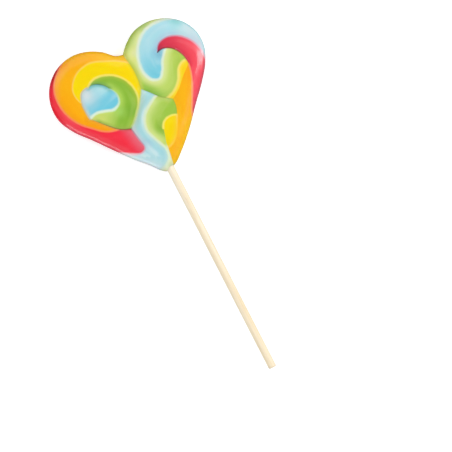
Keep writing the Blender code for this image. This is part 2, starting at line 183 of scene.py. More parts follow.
# The stripes in the order that they are laid over a red ground, each a name and a loop of lines and of
# corner points that lie outside the outline or under a later stripe. A minus runs a line backwards.
GROUND = "left red"
STRIPES = (
    ("left orange", "left red and orange", (-8, 32), (8, 40), (12, 62), (4, 75), (-15, 78)),
    ("left yellow", "left orange and yellow", (-15, 42), LEFT_FORK, (4, 30), (12, 45)),
    ("left green", "left yellow and green", "under seam", (-20, 47)),
    ("eye blue", "eye side", "eye crease", "eye foot"),
    ("right orange", (0, -6), (30, 8), (44, 40), (33, 46), (12, 36), (0, 12)),
    (
        "middle blue", "left seam", "red tail side", "red tail end", (-22, 10), (-8, -6),
        "-middle blue and green", (12, 40),
    ),
    (
        "middle green", "middle blue and green", (0, -6), "-tail green and orange", (10, 16),
        "-middle green and orange", (13, 36),
    ),
    ("drop yellow", "drop top", "drop right", "drop left"),
    ("right yellow", "right orange and yellow", "right yellow and green"),
    ("right green", "lobe seam", "right seam", "-right yellow and green", (34, 50), (42, 72), (4, 72)),
    ("right blue", "right green and blue", (46, 60), (46, 36), (36, 42), (33, 49), (29, 54.5)),
    ("hook red", "hook outside", (42, 34), (24, 10), "-right orange and red", "-hook inside"),
)

# The shares of a line's length at its start, middle and end, where the values below hold
PLACES = (0, 0.5, 1)

# The groove depth, in millimetres, at the start, middle and end of each line where two turns meet
GROOVES = {
    "lobe seam": (0.45, 0.35, 0.25),
    "right seam": (0.3, 0.4, 0.4),
    "right seam end": (0.4, 0.3, 0.2),
    "left seam": (0.25, 0.35, 0.45),
    "under seam": (0.5, 0.45, 0.3),
    "eye side": (0.3, 0.2, 0.25),
    "eye crease": (0.25, 0.6, 0.1),
    "red tail side": (0.45, 0.3, 0.1),
    "middle green and orange": (0.2, 0.2, 0.1),
    "tail green and orange": (0.1, 0.15, 0.2),
    "hook inside": (0.5, 0.55, 0.15),
}
OPEN_CREASES = ("under seam", "eye crease", "hook inside")

# Painted shade in each groove: how dark it makes the sugar at the same three places, from 0 to 1
SHADES = {
    "lobe seam": (0.1, 0.12, 0.15),
    "right seam": (0.15, 0.3, 0.25),
    "right seam end": (0.2, 0.1, 0.05),
    "left seam": (0.05, 0.05, 0.1),
    "under seam": (0.8, 0.55, 0.0),
    "eye side": (0.15, 0.15, 0.2),
    "eye crease": (0.15, 0.6, 0.15),
    "red tail side": (0.5, 0.15, 0.05),
    "middle green and orange": (0.15, 0.15, 0.1),
    "tail green and orange": (0.1, 0.15, 0.15),
    "hook inside": (1.0, 0.55, 0.25),
}
SHADE_HALF_WIDTH = 0.6

# The stripes that lap over their neighbours along a line, and the step there in millimetres
LAPS = {
    "lobe seam": ("right green", 0.12),
    "right seam": ("right green", 0.15),
    "hook inside": ("hook red", 0.3),
    "eye crease": ("left green", 0.3),
}

# The colour of each stripe's sugar, as sRGB levels from 0 to 255
TONES = {
    "left red": (245, 50, 72),
    "left orange": (255, 180, 10),
    "left yellow": (250, 218, 0),
    "left green": (142, 189, 62),
    "eye blue": (117, 204, 225),
    "right orange": (251, 184, 18),
    "middle blue": (171, 218, 224),
    "middle green": (160, 200, 74),
    "drop yellow": (247, 216, 0),
    "right yellow": (245, 210, 20),
    "right green": (193, 217, 106),
    "right blue": (174, 221, 230),
    "hook red": (243, 82, 98),
}

# How a stripe's colour changes near a line or a point: the colour there and the reach in millimetres
OUTLINE = "outline"
# Most fades are the sugar's own colour; those marked below are painted shade, shadow or sheen.
COLOUR_AND_LIGHT_FADES = {
    "left red": (
        # Pinker along the rim: painted sheen
        (OUTLINE, (250, 108, 126), 1.4),
        ((-38.0, 53.0), (240, 16, 44), 15.0),
        # Dark crimson on the upper-left rim, away from the light: painted shade
        ((-31.0, 67.5), (186, 8, 30), 10.0),
        ("red tail side", (230, 106, 124), 7.0),
        # Darker by the under seam: painted crease shade
        ("under seam", (214, 74, 76), 1.6),
    ),
    "left orange": (
        ("left red and orange", (255, 161, 4), 4.5),
        ((2.0, 62.0), (252, 192, 16), 16.0),
        (OUTLINE, (255, 186, 34), 1.8),
        ("under seam", (243, 160, 24), 4.0),
        # Darker close by the under seam: painted crease shade
        ("under seam", (224, 152, 44), 1.3),
        ("lobe seam", (242, 196, 26), 4.0),
        ("eye side", (232, 182, 60), 1.5),
    ),
    "left yellow": (
        ("lobe seam", (236, 214, 34), 2.0),
        ("left seam", (228, 216, 52), 2.5),
        (LEFT_FORK, (172, 206, 132), 19.0),
    ),
    "left green": (
        ("left yellow and green", (170, 194, 66), 3.0),
        ("eye foot", (186, 218, 102), 4.5),
        ((-19.5, 36.0), (208, 222, 116), 11.0),
        # Darker by the under seam: painted crease shade
        ("under seam", (160, 190, 78), 2.2),
        ((-22.5, 38.5), (212, 217, 126), 3.5),
        # Darker by the eye crease: painted crease shade
        ("eye crease", (128, 180, 92), 2.2),
        ((-2.8, 32.5), (124, 176, 54), 6.5),
        ((-9.5, 35.5), (164, 210, 96), 5.0),
    ),
    "eye blue": (
        ((-21.0, 50.5), (216, 227, 229), 11.5),
        ((-12.5, 50.0), (184, 226, 230), 7.0),
        ("eye side", (196, 214, 216), 2.5),
        # Darker teal by the eye crease: painted shadow of the green turn
        ("eye crease", (114, 188, 186), 2.2),
    ),
    "right orange": (
        ("right orange and red", (254, 172, 30), 4.0),
        ((28.5, 37.0), (252, 168, 20), 7.0),
        # Paler towards the rim: painted sheen
        (OUTLINE, (248, 194, 34), 3.0),
        ("middle green and orange", (248, 190, 30), 2.5),
    ),
    "middle blue": (
        # Paler towards the rim and near white at its edge: painted light and sheen on the rim
        (OUTLINE, (208, 234, 239), 6.5),
        (OUTLINE, (240, 249, 253), 1.3),
        ("left seam", (184, 216, 208), 4.5),
        ("red tail side", (204, 210, 216), 3.0),
        (RED_TAIL, (162, 198, 216), 5.0),
        ("middle blue and green", (186, 222, 218), 2.5),
    ),
    "middle green": (
        ("middle blue and green", (216, 229, 150), 6.5),
        ("right seam", (182, 206, 102), 3.5),
        ((5.0, 19.5), (146, 188, 70), 4.5),
        ((2.8, 11.0), (198, 218, 116), 4.0),
        ("tail green and orange", (226, 230, 180), 2.5),
        ((-1.5, 0.0), (232, 236, 194), 6.0),
    ),
    "drop yellow": (("drop right", (246, 208, 48), 3.0), ("drop left", (238, 212, 30), 1.5)),
    "right yellow": (("right yellow and green", (248, 222, 88), 2.5),),
    "right green": (
        # Darker towards the rim: painted rim shade
        (OUTLINE, (170, 197, 84), 4.5),
        ("hook inside", (178, 204, 84), 5.0),
        ("right green and blue", (223, 232, 166), 5.0),
        # Darker by the right seam: painted groove shade
        ("right seam", (138, 190, 72), 5.0),
        ("right yellow and green", (176, 206, 88), 6.0),
        ((8.0, 57.0), (226, 232, 140), 7.0),
        ((10.5, 57.5), (226, 233, 176), 3.5),
        ((20.0, 67.2), (186, 212, 124), 5.5),
        # Darker by the lobe seam: painted groove shade
        ("lobe seam", (198, 210, 84), 2.4),
    ),
    "right blue": (
        ("hook outside", (176, 208, 224), 3.5),
        ("right green and blue", (176, 222, 226), 2.0),
        ((38.0, 57.0), (196, 224, 228), 9.0),
        ((35.5, 63.0), (146, 212, 214), 6.0),
        # Pale grey by the right rim: painted highlight
        ((42.0, 47.0), (202, 215, 223), 13.0),
        (OUTLINE, (174, 222, 226), 1.4),
        ((15.5, 45.0), (132, 208, 225), 15.0),
        ((15.0, 42.5), (122, 206, 224), 6.0),
        # Darker by the hook's tip: painted shadow
        ((20.0, 52.3), (136, 194, 214), 4.5),
    ),
    "hook red": (
        # Darker at the rim's edge: painted edge shade
        (OUTLINE, (206, 78, 96), 1.5),
        ("hook inside", (228, 60, 82), 3.0),
        ("hook outside", (240, 96, 116), 1.5),
        (HOOK_TIP, (212, 54, 80), 20.0),
        # Near black at the tip, where the hook's crease ends: painted shade
        (HOOK_TIP, (160, 40, 80), 5.0),
    ),
}

# The pale lines between stripes: the colour, or the colours at the start, middle and end, the half widths
# there in millimetres, and the stripes that they run between
PALE_LINES = {
    "left red and orange": ((254, 144, 92), (0.6, 0.7, 0.7), ("left red", "left orange")),
    "left orange and yellow": ((255, 212, 92), (0.7, 0.7, 0.5), ("left orange", "left yellow")),
    "left yellow and green": (
        ((250, 231, 122), (247, 228, 100), (184, 212, 142)), (0.8, 0.8, 0.8), ("left yellow", "left green"),
    ),
    "eye foot": (
        ((168, 212, 176), (228, 242, 222), (228, 242, 222)), (0.3, 1.1, 1.1), ("left green", "eye blue"),
    ),
    "eye side": ((208, 206, 190), (0.5, 0.5, 0.7), ("left orange", "left yellow", "eye blue")),
    "red tail end": (
        ((196, 174, 192), (242, 208, 214), (242, 214, 220)), (0.5, 0.9, 0.7), ("left red", "middle blue"),
    ),
    "red tail side": ((206, 158, 178), (0.4, 0.6, 0.5), ("left red", "middle blue")),
    "left seam": (
        ((206, 216, 112), (198, 216, 160), (202, 220, 192)), (0.4, 0.6, 0.8), ("left yellow", "middle blue"),
    ),
    "middle blue and green": ((222, 235, 206), (1.1, 0.9, 1.2), ("middle blue", "middle green")),
    "drop top": ((246, 234, 116), (0.9, 0.8, 0.6), ("middle green", "drop yellow")),
    "drop right": (
        ((252, 214, 96), (252, 204, 34), (254, 208, 92)), (0.7, 0.6, 0.9), ("right orange", "drop yellow"),
    ),
    "right yellow and green": ((242, 228, 120), (0.7, 0.9, 0.9), ("right yellow", "right green")),
    "right green and blue": ((224, 237, 218), (0.8, 1.2, 1.0), ("right green", "right blue")),
    "hook outside": (
        ((180, 142, 168), (222, 158, 178), (238, 194, 204)), (0.4, 0.7, 0.7), ("right blue", "hook red"),
    ),
    "right orange and red": ((254, 164, 112), (0.55, 0.7, 0.65), ("right orange", "hook red")),
}

# Distances to the pale lines in half widths: where there is none, how far their edges wander, and where
# they begin and end to fade
NO_LINE = 9.0
LINE_RAGGED = 0.5
LINE_FADE = (0.1, 1.15)
LINE_STRENGTH = 0.9

# The line that the sugar's streaks follow in each stripe, as a name or as plan points, how strong they
# are there, from 0 to 1, and the colour of the pale ones
EYE_FLOW = ((-30.0, 35.0), (-17.0, 36.0), (-3.0, 38.5))
RIGHT_BLUE_FLOW = (
    (13.5, 39.5), (9.6, 44.5), (8.9, 52.1), (12.4, 60.5), (19.2, 66.4), (28.5, 68.0), (36.8, 64.6),
    (42.0, 57.0), (43.2, 47.5), (41.5, 39.0),
)
STREAKS = {
    "left red": ("left red and orange", 0.3, (250, 110, 122)),
    "left orange": ("left red and orange", 0.25, (255, 198, 40)),
    "left yellow": ("left orange and yellow", 0.2, (255, 230, 8)),
    "left green": ("left yellow and green", 0.25, (200, 222, 120)),
    "eye blue": (EYE_FLOW, 0.4, (200, 230, 234)),
    "right orange": ("right orange and red", 0.25, (255, 200, 40)),
    "middle blue": ("middle blue and green", 0.7, (214, 236, 238)),
    "middle green": ("middle blue and green", 0.2, (216, 230, 140)),
    "drop yellow": ("drop top", 0.2, (255, 230, 40)),
    "right yellow": ("right yellow and green", 0.2, (255, 228, 60)),
    "right green": ("right green and blue", 0.25, (224, 236, 156)),
    "right blue": (RIGHT_BLUE_FLOW, 0.22, (214, 234, 238)),
    "hook red": ("hook outside", 0.3, (252, 130, 142)),
}

WHITE = (1, 1, 1, 1)

# The range in which most of a noise lies
NOISE_RANGE = (0.3, 0.7)

# The streaks: how fast they change for each millimetre along and across, how far apart in the noise the
# stripes are, and the parts of the noise in which the pale and the deep streaks come in
STREAK_SCALE = (0.05, 0.24, 1.0)
STRIPES_APART = 50.0
PALE_STREAKS = (0.46, 0.74, 0.0, 1.0)
DEEP_STREAKS = (0.5, 0.26, 0.0, 0.3)

# The noises in the sugar: the scale of each, its detail and, for the streaks, how rough they are
STREAK_NOISE = (1.0, 2, 0.45)
LINE_NOISE = (380, 3)
RIPPLE_NOISE = (180, 2)
GRAIN_NOISE = (900, 3)

# The sugar: glossy, with light that goes some millimetres into it, and small waves on its surface, whose
# heights are in millimetres
# Painted shade in the creases darkens the sugar's colour by multiplying it with this
CREASE_SHADE_TINT = (0.28, 0.2, 0.16, 1)
SUGAR_ROUGHNESS = (0.18, 0.24)
SUGAR_GLOSS = 0.4
SUGAR_DEPTH_SHARE = 0.45
SUGAR_DEPTH = 4.0
SUGAR_DEPTH_COLOUR = (1.0, 0.6, 0.45)
RIPPLE_HEIGHT = 0.06
STREAK_HEIGHT = 0.01
GRAIN_HEIGHT = 0.006

# The wood: its colours as sRGB levels, and the scales of its grain, its pores and its broad patches
WOOD_PALE = (252, 241, 219)
WOOD_DEEP = (238, 217, 176)
WOOD_PORE_TINT = (0.5, 0.33, 0.16, 1)
WOOD_ROUGHNESS = (0.5, 0.68)
WOOD_GRAIN = (1400, 22, 1400)
WOOD_PORES = (5200, 120, 5200)
WOOD_PATCHES = (260, 12, 260)
WOOD_GRAIN_NOISE = (1.0, 4, 0.6)
WOOD_SOFT_NOISE = (1.0, 2)
WOOD_GRAIN_HEIGHT = 0.05
WOOD_PORE_HEIGHT = 0.02

# The parts of the noise in which the grain, the patches and the pores come in, and how strongly
WOOD_GRAIN_TURNS = (0.35, 0.7, 0.0, 0.6)
WOOD_PATCH_TURNS = (*NOISE_RANGE, 0.0, 0.4)
WOOD_PORE_TURNS = (0.62, 0.75, 0.0, 0.3)

# The white floor, in metres, a hair under the flat back
FLOOR_SIZE = 4.0
FLOOR_HEIGHT = -0.00002
FLOOR_COLOUR = (0.93, 0.93, 0.93, 1)
FLOOR_GLOW = 0.5
FLOOR_GLOSS = 0.1
FLOOR_ROUGHNESS = (0.85, 0.95)
FLOOR_NOISE = (300, 3)

# The soft lights: the direction that each comes from, in degrees round from +X and up from the floor, and
# its width and height in metres and its power
LIGHTS = {
    "key light": (-22, 31, 0.2, 0.94, 7.6),
    "low light": (216, 8, 0.42, 0.26, 2.2),
    "upper fill": (82, 35, 2.4, 1.1, 8.0),
    "left fill": (166, 36, 2.2, 0.94, 6.2),
    "lower fill": (275, 42, 1.4, 0.9, 1.5),
}
LIGHT_DISTANCE = 1.0
WORLD_LIGHT = 0.18

# The camera looks straight down on the plan point at the middle of the view, turned with the stick
VIEW_WIDTH = 221.0
VIEW_CENTRE = (11.21, -37.89)
VIEW_HEIGHT = 0.75 * THICKNESS
VIEW_TURN = 27.13
LENS = 600
SENSOR = 36


def smooth_curve(points, step):
    """Points about a step apart on a smooth curve through the given points, to the nearest micrometre."""
    knots = [Vector(point) for point in points]
    gaps = [(b - a).length for a, b in zip(knots[:-1], knots[1:])]
    runs = [(b - a) / gap for a, b, gap in zip(knots[:-1], knots[1:], gaps)]
    slopes = [
        (runs[i] * gaps[i + 1] + runs[i + 1] * gaps[i]) / (gaps[i] + gaps[i + 1])
        for i in range(len(runs) - 1)
    ]
    first = 2 * runs[0] - slopes[0] if slopes else runs[0]
    last = 2 * runs[-1] - slopes[-1] if slopes else runs[-1]
    slopes = [first, *slopes, last]
    made = [knots[0]]
    for i, gap in enumerate(gaps):
        count = max(2, round(gap / step) + 1)
        handles = knots[i] + slopes[i] * gap / 3, knots[i + 1] - slopes[i + 1] * gap / 3
        made += interpolate_bezier(knots[i], *handles, knots[i + 1], count)[1:]
    return np.round([point[:2] for point in made], 3)


def closed_up(loop):
    """A loop with its first point repeated at its end."""
    return np.vstack((loop, loop[:1]))


def sides_of(line):
    """A unit vector to the left of a line at each of its points."""
    along = np.gradient(line, axis=0)
    along /= np.linalg.norm(along, axis=1, keepdims=True)
    return np.column_stack((-along[:, 1], along[:, 0]))


def measure(plan, line):
    """The distance from each plan point to a line, and how far along the line that is, from 0 to 1."""
    best = np.full(len(plan), np.inf)
    along = np.zeros(len(plan))
    lengths = np.hypot(*np.diff(line, axis=0).T)
    passed = np.concatenate(([0], np.cumsum(lengths)))
    for start, end, length, before in zip(line[:-1], line[1:], lengths, passed):
        run = end - start
        share = np.clip((plan - start) @ run / length**2, 0, 1)
        gap = plan - start - share[:, None] * run
        away = np.hypot(gap[:, 0], gap[:, 1])
        closer = away < best
        best[closer] = away[closer]
        along[closer] = (before + share[closer] * length) / passed[-1]
    return best, along


def distances(plan, line):
    """The distance from each plan point to a line."""
    return measure(plan, line)[0]


def inside(plan, loop):
    """True for each plan point inside a closed loop of points."""
    x, y = plan.T
    found = np.zeros(len(plan), bool)
    for (x0, y0), (x1, y1) in zip(loop, np.roll(loop, -1, axis=0)):
        if y0 != y1:
            found ^= ((y0 > y) != (y1 > y)) & (x < x0 + (x1 - x0) * (y - y0) / (y1 - y0))
    return found


def nearest(plan, lines, names):
    """The distance from each plan point to the nearest of the named lines."""
    return np.min([distances(plan, lines[name]) for name in names], axis=0)


def sampled_line(points, outline):
    """A smooth line with points closer together where it crosses the rim."""
    fine = smooth_curve(points, LINE_STEP_AT_EDGE)
    depths = distances(fine, closed_up(outline))
    steps = np.minimum(LINE_STEP_AT_EDGE + EDGE_STEP_GROWTH * depths, LINE_STEP)
    kept = [fine[0]]
    for point, step in zip(fine[1:-1], steps[1:-1]):
        if np.hypot(*(point - kept[-1])) >= step and np.hypot(*(point - fine[-1])) > step / 2:
            kept.append(point)
    return np.array([*kept, fine[-1]])


def stripe_loop(pieces, lines):
    """The closed loop of a stripe, from its line names and corner points, with no point twice in a row."""
    parts = []
    for piece in pieces:
        if isinstance(piece, tuple):
            parts.append(np.array([piece], float))
        elif piece.startswith("-"):
            parts.append(lines[piece[1:]][::-1])
        else:
            parts.append(lines[piece])
    loop = np.vstack(parts)
    return loop[np.any(loop != np.roll(loop, 1, axis=0), axis=1)]


def smooth_step(share):
    """An even rise from 0 to 1 with flat ends."""
    share = np.clip(share, 0, 1)
    return share * share * (3 - 2 * share)


def dome(depth_in, rounding):
    """How far the rim has risen from its widest line, from 0 to 1, at a depth in from the outline."""
    left = np.clip(1 - depth_in / rounding, 0, 1)
    return np.sqrt(1 - left**2)


def cusp(distance, half_width):
    """1 on a seam, falling to 0 at the half width, as between two round shoulders."""
    near = np.clip(1 - distance / half_width, 0, 1)
    return 1 - np.sqrt(1 - near**2)


def groove_shape(name, away):
    """How deep a groove is at a distance from its line, from 1 on the line to 0."""
    if name in OPEN_CREASES:
        return cusp(np.hypot(away, CREASE_FLOOR) - CREASE_FLOOR, CREASE_HALF_WIDTH)
    return np.exp(-((away / SOFT_HALF_WIDTH) ** 2))


def top_heights(plan, outline, lines, loops):
    """The height of the shown face over each plan point."""
    rise = dome(distances(plan, closed_up(outline)), RIM_ROUNDING_TOP)
    total = np.zeros(len(plan))
    for name, depths in GROOVES.items():
        away, along = measure(plan, lines[name])
        depth = np.interp(along, PLACES, depths)
        groove = depth * groove_shape(name, away) + TURN_CROWN * smooth_step(1 - away / TURN_HALF_WIDTH)
        total += groove**BLEND_POWER
    sunk = total ** (1 / BLEND_POWER)
    for name, (over, step) in LAPS.items():
        loop = loops[over]
        share = smooth_step(distances(plan, closed_up(loop)) / LAP_EDGE) * inside(plan, loop)
        away = distances(plan, lines[name])
        sunk += (1 - share) * step * np.clip(1 - away / LAP_REACH, 0, 1) ** 2
    return RIM_HEIGHT + rise * (THICKNESS - RIM_HEIGHT - sunk)


def back_heights(plan, outline):
    """The height of the flat back and its rounded edge over each plan point."""
    rise = dome(distances(plan, closed_up(outline)), RIM_ROUNDING_BACK)
    return RIM_HEIGHT * (1 - rise)


def rim_points(outline):
    """Points in rows along the inside of the outline, closer together where the rim is steep."""
    closed = closed_up(outline)
    inward = sides_of(closed)[:-1]
    found = []
    for row in range(1, RIM_ROWS + 1):
        depth = RIM_ROUNDING_TOP * (1 - math.cos(math.pi / 2 * row / RIM_ROWS))
        points = outline + inward * depth
        clear = inside(points, outline) & (distances(points, closed) > ROW_CLEARANCE * depth)
        found.append(points[clear])
    return np.vstack(found)


def row_points(lines, names, offsets):
    """Points in rows along both sides of the named lines."""
    found = []
    for name in names:
        line = lines[name]
        for offset in offsets:
            for side in (-1, 1):
                points = line + side * offset * sides_of(line)
                found.append(points[nearest(points, lines, names) > ROW_CLEARANCE * offset])
    return np.vstack(found)


def fill_points(outline):
    """A grid of points in staggered rows over the heart's box."""
    low, high = outline.min(axis=0), outline.max(axis=0)
    found = []
    for row, y in enumerate(np.arange(low[1], high[1], FILL_STEP * math.sqrt(0.75))):
        start = low[0] + (row % 2) * FILL_STEP / 2
        found += [(x, y) for x in np.arange(start, high[0], FILL_STEP)]
    return np.array(found)


def spread_out(points, gap):
    """The points less those that come within a gap of one before them."""
    cells = {}
    kept = []
    for x, y in points:
        column, row = int(x // gap), int(y // gap)
        around = [cells.get((column + i, row + j)) for i in (-1, 0, 1) for j in (-1, 0, 1)]
        if all(other is None or math.dist(other, (x, y)) > gap for other in around):
            cells[column, row] = (x, y)
            kept.append((x, y))
    return np.array(kept)


def free_points(outline, lines):
    """The plan's loose points, none of them crowding a line or another row."""
    closed = closed_up(outline)
    plain = [name for name in lines if name not in GROOVES]
    grooves = row_points(lines, list(GROOVES), GROOVE_ROWS)
    rows = row_points(lines, plain, LINE_ROWS)
    rim = rim_points(outline)
    fill = fill_points(outline)
    fill = fill[inside(fill, outline) & (distances(fill, closed) > RIM_ROUNDING_TOP / 2)]
    free = np.vstack((grooves, rim, rows, fill))
    free = free[inside(free, outline) & (distances(free, closed) > GROOVE_ROWS[0] / 2)]
    free = free[nearest(free, lines, GROOVES) > GROOVE_MARGIN]
    return spread_out(free[nearest(free, lines, plain) > FREE_MARGIN], FREE_MARGIN)


def triangulate(points, chains):
    """Plan points and triangles inside the first chain, a closed one, with every chain kept as edges."""
    corners = [Vector(point) for chain in chains for point in chain] + [Vector(point) for point in points]
    edges = []
    start = 0
    for chain in chains:
        edges += [(start + i, start + i + 1) for i in range(len(chain) - 1)]
        start += len(chain)
    plan, _, faces, *_ = delaunay_2d_cdt(corners, edges, [], 0, MERGE)
    plan = np.array([point[:] for point in plan])
    faces = np.array(faces)
    faces = faces[inside(plan[faces].mean(axis=1), chains[0])]
    used, numbers = np.unique(faces, return_inverse=True)
    return plan[used], numbers.reshape(faces.shape)


def rim_loop(faces):
    """The points round the edge of a triangulated plan."""
    edges = {(int(face[i - 1]), int(face[i])) for face in faces for i in range(3)}
    return sorted({start for start, end in edges if (end, start) not in edges})


def place(plan, heights):
    """World points in metres from plan points and heights in millimetres."""
    return np.column_stack((plan[:, 0], plan[:, 1] - TIP_TO_ORIGIN, heights)) * MM


def linear(levels):
    """Linear light from sRGB levels, which run from 0 to 255."""
    shares = np.asarray(levels, float) / 255
    return np.where(shares < 0.04045, shares / 12.92, ((shares + 0.055) / 1.055) ** 2.4)


def away_from(plan, mark, lines, outline):
    """The distance from each plan point to a named line, to the outline or to a point."""
    if mark == OUTLINE:
        return distances(plan, closed_up(outline))
    if isinstance(mark, tuple):
        return np.hypot(*(plan - mark).T)
    return distances(plan, lines[mark])


def stripe_names(middles, loops):
    """The stripe of each face, the last one laid over its middle."""
    names = np.full(len(middles), GROUND, dtype=object)
    for name, loop in loops.items():
        names[inside(middles, loop)] = name
    return names


def stripe_colours(stripe, plan, lines, outline):
    """The sugar's colour in a stripe at each plan point, with its painted shade and sheen, in linear light.
    """
    levels = np.tile(np.array(TONES[stripe], float), (len(plan), 1))
    for mark, colour, reach in COLOUR_AND_LIGHT_FADES[stripe]:
        share = smooth_step(1 - away_from(plan, mark, lines, outline) / reach)[:, None]
        levels += (np.array(colour) - levels) * share
    return linear(levels)


def along_line(colour, along):
    """A line's colour at shares of its length, from one colour or from those at start, middle and end."""
    levels = np.array(colour, float)
    if levels.ndim == 1:
        return np.tile(levels, (len(along), 1))
    return np.column_stack([np.interp(along, PLACES, level) for level in levels.T])


def pale_line(stripe, plan, lines):
    """The colour of the nearest pale line of a stripe, and the distance to it in half widths."""
    gaps = np.full(len(plan), NO_LINE)
    tints = np.ones((len(plan), 3))
    for name, (colour, half_widths, stripes) in PALE_LINES.items():
        if stripe in stripes:
            away, along = measure(plan, lines[name])
            away /= np.interp(along, PLACES, half_widths)
            closer = away < gaps
            gaps[closer] = away[closer]
            tints[closer] = linear(along_line(colour, along[closer]))
    return tints, gaps


def flow_along(stripe, plan, lines):
    """Coordinates in millimetres along and across the line that a stripe's streaks follow."""
    mark = STREAKS[stripe][0]
    guide = lines[mark] if mark in lines else smooth_curve(mark, LINE_STEP)
    away, along = measure(plan, guide)
    length = np.sum(np.hypot(*np.diff(guide, axis=0).T))
    shift = STRIPES_APART * list(TONES).index(stripe)
    return np.column_stack((along * length, away, np.full(len(plan), shift)))


def groove_shades(plan, lines):
    """How dark the painted groove shade makes each plan point, from 0 to 1."""
    found = np.zeros(len(plan))
    for name, shares in SHADES.items():
        away, along = measure(plan, lines[name])
        share = np.interp(along, PLACES, shares)
        found = np.maximum(found, share * np.clip(1 - away / SHADE_HALF_WIDTH, 0, 1) ** 2)
    return found


def paint(mesh, plan, corners, middles, outline, lines, loops):
    """Gives each corner of the candy its stripe's colour, its pale line and its streaks' direction."""
    names = stripe_names(middles, loops)
    tone = np.ones((len(corners), 4))
    tint = np.ones((len(corners), 4))
    pale = np.ones((len(corners), 4))
    flow = np.zeros((len(corners), 3))
    gap = np.full(len(corners), NO_LINE)
    owner = np.repeat(names, 3)
    for stripe in TONES:
        mine = owner == stripe
        used, numbers = np.unique(corners[mine], return_inverse=True)
        tints, gaps = pale_line(stripe, plan[used], lines)
        # The tone is the stripe's colour with its painted shade and sheen
        tone[mine, :3] = stripe_colours(stripe, plan[used], lines, outline)[numbers]
        tone[mine, 3] = STREAKS[stripe][1]
        pale[mine, :3] = linear(STREAKS[stripe][2])
        tint[mine, :3] = tints[numbers]
        gap[mine] = gaps[numbers]
        flow[mine] = flow_along(stripe, plan[used], lines)[numbers]
    for name, values in (("tone", tone), ("line_tint", tint), ("streak_tint", pale)):
        layer = mesh.color_attributes.new(name, "FLOAT_COLOR", "CORNER")
        layer.data.foreach_set("color", values.ravel())
    mesh.attributes.new("line_gap", "FLOAT", "CORNER").data.foreach_set("value", gap)
    mesh.attributes.new("flow", "FLOAT_VECTOR", "CORNER").data.foreach_set("vector", flow.ravel())


def candy_mesh():
    """The heart's closed mesh: a shown face and a back that share the outline and the stripes."""
    outline = smooth_curve(LEFT_SIDE + TIP + RIGHT_SIDE, OUTLINE_STEP)[:-1]
    lines = {name: sampled_line(points, outline) for name, points in LINES.items()}
    loops = {name: stripe_loop(pieces, lines) for name, *pieces in STRIPES}
    plan, faces = triangulate(free_points(outline, lines), [closed_up(outline), *lines.values()])
    edge = rim_loop(faces)
    inner = np.setdiff1d(np.arange(len(plan)), edge)
    heights = top_heights(plan, outline, lines, loops)
    heights[edge] = RIM_HEIGHT
    below = np.arange(len(plan))
    below[inner] = len(plan) + np.arange(len(inner))
    backs = below[faces[:, ::-1]]
    points = np.vstack((place(plan, heights), place(plan[inner], back_heights(plan[inner], outline))))

    mesh = bpy.data.meshes.new("candy_looks")
    mesh.from_pydata(points.tolist(), [], np.vstack((faces, backs)).tolist())
    both = np.vstack((plan, plan[inner]))
    corners = np.concatenate((faces.ravel(), faces[:, ::-1].ravel()))
    middles = np.tile(plan[faces].mean(axis=1), (2, 1))
    paint(mesh, plan, corners, middles, outline, lines, loops)
    # Painted shade in the grooves, on the shown face only
    shade = groove_shades(both, lines)
    shade[len(plan):] = 0
    mesh.attributes.new("shade", "FLOAT", "POINT").data.foreach_set("value", shade)
    mesh.shade_smooth()
    return mesh


def rod(name, diameter, length, sides):
    """A closed round rod along Z about its own origin."""
    mesh = bpy.data.meshes.new(name)
    shape = bmesh.new()
    radius = diameter / 2
    bmesh.ops.create_cone(
        shape, cap_ends=True, segments=sides, radius1=radius, radius2=radius, depth=length
    )
    shape.to_mesh(mesh)
    shape.free()
    made = bpy.data.objects.new(name, mesh)
    bpy.context.scene.collection.objects.link(made)
    return made


def apply_modifiers(made):
    """Turns an object's modifiers into its mesh."""
    graph = bpy.context.evaluated_depsgraph_get()
    made.data = bpy.data.meshes.new_from_object(made.evaluated_get(graph))
    made.modifiers.clear()


def make_candy():
    """The heart of boiled sugar, set tight round the stick."""
    made = bpy.data.objects.new("candy_looks", candy_mesh())
    bpy.context.scene.collection.objects.link(made)
    made.data.materials.append(sugar_material())
    hole_end = STICK_IN_SUGAR + STICK_PLAY
    length = hole_end + HOLE_OVERRUN
    hole = rod("hole", (STICK_DIAMETER + 2 * STICK_PLAY) * MM, length * MM, HOLE_SIDES)
    hole.rotation_euler = (math.radians(90), 0, 0)
    hole.location = (0, (hole_end - length / 2 - TIP_TO_ORIGIN) * MM, RIM_HEIGHT * MM)
    cut = made.modifiers.new("hole", "BOOLEAN")
    cut.operation = "DIFFERENCE"
    cut.object = hole
    bpy.context.view_layer.update()
    apply_modifiers(made)
    bpy.data.objects.remove(hole)
    made.data.set_sharp_from_angle(angle=math.radians(SUGAR_SHARP_ANGLE))
    return made


def stick_waves():
    """The waves round the stick: the rises of each, where they start, and their pitch along it."""
    rng = random.Random(STICK_SEED)
    return [(rises, rng.uniform(0, math.tau), rng.uniform(*STICK_WAVE_PITCH)) for rises in STICK_WAVE_RISES]


def stick_radius(turn, along, waves):
    """The stick's radius, a touch uneven round and along its length."""
    heights = [math.sin(rises * turn + start + along / pitch) for rises, start, pitch in waves]
    uneven = sum(heights) / len(heights)
    return STICK_DIAMETER / 2 - STICK_PLANE_DEPTH * (1 + uneven) / 2


def stick_stations():
    """The places along the stick that have a ring of points, closer together on the rounded ends."""
    turns = [math.pi / 2 * row / STICK_END_ROWS for row in range(STICK_END_ROWS + 1)]
    ends = [STICK_END_ROUNDING * (1 - math.cos(turn)) for turn in turns]
    count = round(STICK_LENGTH / STICK_RING_STEP)
    middle = np.linspace(STICK_END_ROUNDING, STICK_LENGTH - STICK_END_ROUNDING, count)
    return [*ends, *middle[1:-1], *[STICK_LENGTH - depth for depth in reversed(ends)]]


